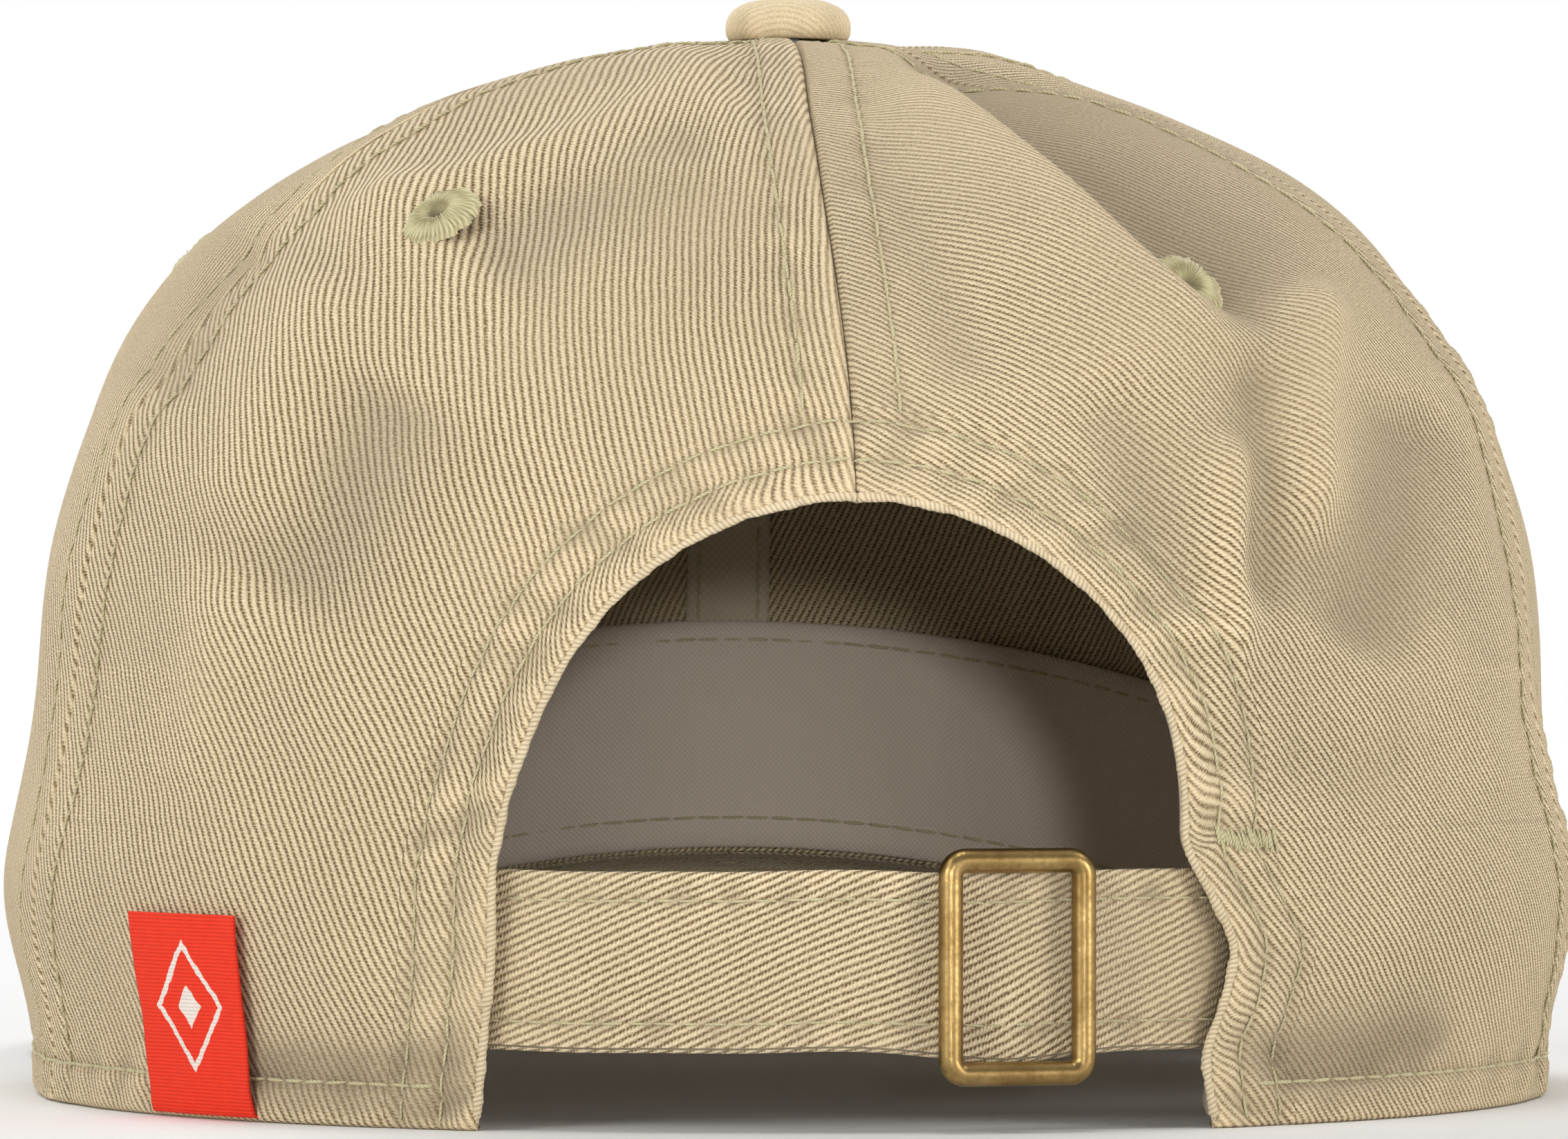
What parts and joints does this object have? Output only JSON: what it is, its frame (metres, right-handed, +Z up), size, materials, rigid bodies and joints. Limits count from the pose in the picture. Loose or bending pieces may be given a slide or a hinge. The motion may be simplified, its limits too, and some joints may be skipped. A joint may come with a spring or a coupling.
{
  "type": "baseball cap",
  "caption": "Unstructured six-panel cotton cap with a curved visor, an open arch at the back and a strap that adjusts through a metal slide buckle.",
  "frame": {"origin": "centre of the head opening, at the height of the hem on which the cap stands", "axes": "+Z up through the button, +Y towards the back (arch and strap), -Y towards the visor, +X towards the wearer's left"},
  "size_m": [0.1852, 0.2676, 0.1288],
  "materials": {
    "twill": "washed cotton twill",
    "tape": "plain woven cotton tape",
    "lining": "smooth cotton",
    "interlining": "stiff non-woven",
    "thread": "satin-stitched thread",
    "antique_brass": "aged, satin",
    "zinc_steel": "zinc plated",
    "board": "matte",
    "red_label": "damask woven"
  },
  "bodies": {
    "crown": {"panel_back_left": "twill", "panel_back_right": "twill", "panel_side_left": "twill", "panel_side_right": "twill", "panel_front_left": "twill", "panel_front_right": "twill", "eyelet_back_left": "thread", "eyelet_back_right": "thread", "eyelet_side_left": "thread", "eyelet_side_right": "thread", "eyelet_front_left": "thread", "eyelet_front_right": "thread", "seam_tape_back": "tape", "seam_tape_side_left": "tape", "seam_tape_side_right": "tape", "seam_tape_temple_left": "tape", "seam_tape_temple_right": "tape", "seam_tape_front": "tape", "arch_facing": "tape", "button_cover": "twill", "button_shell": "zinc_steel", "button_rivet": "zinc_steel", "sweatband": "lining", "sweatband_interlining": "interlining", "hem_label": "red_label", "visor_board": "board", "visor_bottom_cover": "twill", "visor_top_cover": "twill", "adjusting_strap": "twill"},
    "loop": {"strap_loop": "twill"},
    "buckle": {"buckle_frame": "antique_brass", "buckle_bar": "antique_brass"}
  },
  "joints": [
    {"name": "buckle_slide", "type": "hinge", "parent": "crown", "child": "loop", "pos_m": [0, 0.013, 0.0181], "axis": [0, 0, 1], "range_deg": [-24, 6]},
    {"name": "buckle_tilt", "type": "hinge", "parent": "loop", "child": "buckle", "pos_m": [-0.01634, 0.09121, 0.0181], "axis": [0, 0, 1], "range_deg": [-4, 4]}
  ]
}
